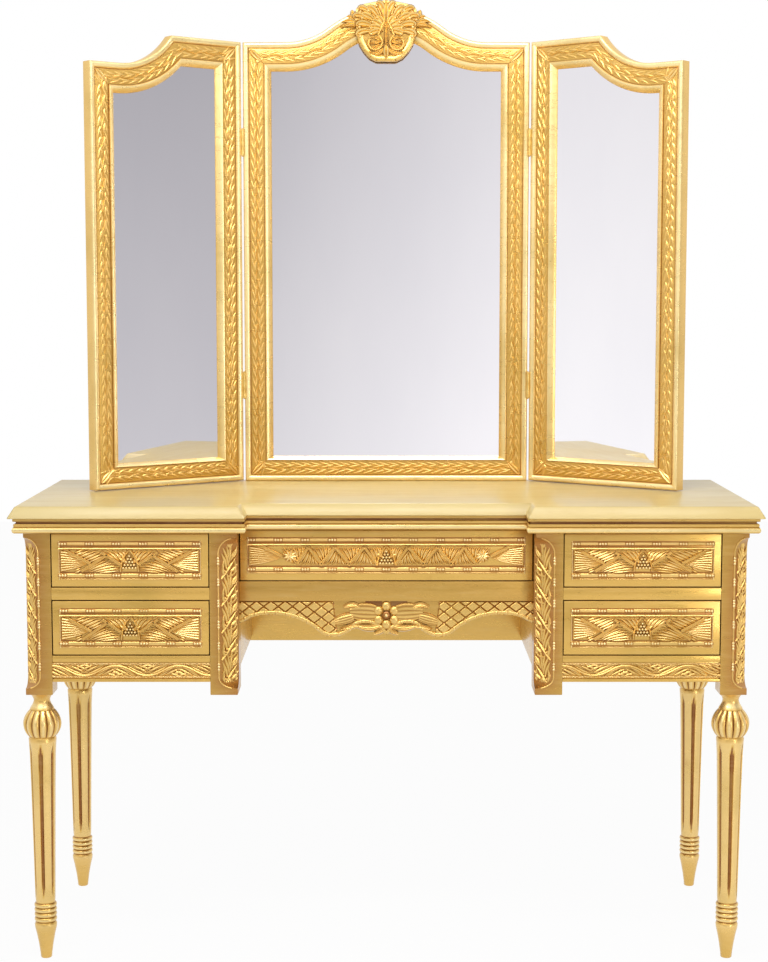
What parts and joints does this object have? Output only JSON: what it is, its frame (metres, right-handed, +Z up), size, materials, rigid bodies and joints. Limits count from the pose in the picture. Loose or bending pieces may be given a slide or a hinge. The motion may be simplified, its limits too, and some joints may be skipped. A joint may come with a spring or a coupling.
{
  "type": "dressing table",
  "caption": "Carved gilt-wood dressing table with a stone top, drawers beside and above the knee-hole, turned fluted legs and a folding triptych mirror.",
  "frame": {"origin": "on the floor under the middle of the table's overall width and depth", "axes": "+Z up, +X to the right of a person facing the front, front faces -Y"},
  "size_m": [1.254, 0.48, 1.6655],
  "materials": {
    "gilt_wood": "burnished gold leaf over red bole on carved wood",
    "stone": "polished cream stone with soft bands",
    "mirror_glass": "silvered plate glass",
    "backing_wood": "bare brown board",
    "plain_wood": "bare planed wood",
    "brass": "aged brass",
    "steel": "plain screw steel"
  },
  "bodies": {
    "table": {"apron": "gilt_wood", "back_panel": "gilt_wood", "base_rails": "gilt_wood", "batten_screws": "steel", "bottom_boards": "plain_wood", "centre_hinge_leaves": "brass", "centre_rail": "gilt_wood", "cornice_moulding": "gilt_wood", "drawer_dividers": "gilt_wood", "drawer_runners": "plain_wood", "front_left_leg": "gilt_wood", "front_right_leg": "gilt_wood", "hinge_pins": "brass", "left_knee_panel": "gilt_wood", "left_knee_post": "gilt_wood", "left_side_panel": "gilt_wood", "mirror_backboard": "backing_wood", "mirror_battens": "backing_wood", "mirror_bottom_rail": "gilt_wood", "mirror_crest": "gilt_wood", "mirror_glass": "mirror_glass", "mirror_left_stile": "gilt_wood", "mirror_right_stile": "gilt_wood", "mirror_top_rail": "gilt_wood", "rear_left_leg": "gilt_wood", "rear_right_leg": "gilt_wood", "right_knee_panel": "gilt_wood", "right_knee_post": "gilt_wood", "right_side_panel": "gilt_wood", "stone_top": "stone", "sub_top": "plain_wood"},
    "left_upper_drawer": {"left_upper_drawer_front": "gilt_wood", "left_upper_drawer_box": "plain_wood", "left_upper_drawer_bottom": "plain_wood"},
    "left_lower_drawer": {"left_lower_drawer_front": "gilt_wood", "left_lower_drawer_box": "plain_wood", "left_lower_drawer_bottom": "plain_wood"},
    "right_upper_drawer": {"right_upper_drawer_front": "gilt_wood", "right_upper_drawer_box": "plain_wood", "right_upper_drawer_bottom": "plain_wood"},
    "right_lower_drawer": {"right_lower_drawer_front": "gilt_wood", "right_lower_drawer_box": "plain_wood", "right_lower_drawer_bottom": "plain_wood"},
    "centre_drawer": {"centre_drawer_front": "gilt_wood", "centre_drawer_box": "plain_wood", "centre_drawer_bottom": "plain_wood"},
    "left_wing": {"left_wing_backboard": "backing_wood", "left_wing_bottom_rail": "gilt_wood", "left_wing_glass": "mirror_glass", "left_wing_hinge_leaves": "brass", "left_wing_stiles": "gilt_wood", "left_wing_top_rail": "gilt_wood"},
    "right_wing": {"right_wing_backboard": "backing_wood", "right_wing_bottom_rail": "gilt_wood", "right_wing_glass": "mirror_glass", "right_wing_hinge_leaves": "brass", "right_wing_stiles": "gilt_wood", "right_wing_top_rail": "gilt_wood"}
  },
  "joints": [
    {"name": "left_upper_drawer_slide", "type": "slide", "parent": "table", "child": "left_upper_drawer", "axis": [0, -1, 0], "range_m": [0, 0.27]},
    {"name": "left_lower_drawer_slide", "type": "slide", "parent": "table", "child": "left_lower_drawer", "axis": [0, -1, 0], "range_m": [0, 0.27]},
    {"name": "right_upper_drawer_slide", "type": "slide", "parent": "table", "child": "right_upper_drawer", "axis": [0, -1, 0], "range_m": [0, 0.27]},
    {"name": "right_lower_drawer_slide", "type": "slide", "parent": "table", "child": "right_lower_drawer", "axis": [0, -1, 0], "range_m": [0, 0.27]},
    {"name": "centre_drawer_slide", "type": "slide", "parent": "table", "child": "centre_drawer", "axis": [0, -1, 0], "range_m": [0, 0.22]},
    {"name": "left_wing_hinge", "type": "hinge", "parent": "table", "child": "left_wing", "pos_m": [-0.265, 0.2, 0.78], "axis": [0, 0, 1], "range_deg": [-38, 52]},
    {"name": "right_wing_hinge", "type": "hinge", "parent": "table", "child": "right_wing", "pos_m": [0.265, 0.2, 0.78], "axis": [0, 0, -1], "range_deg": [-38, 52]}
  ]
}
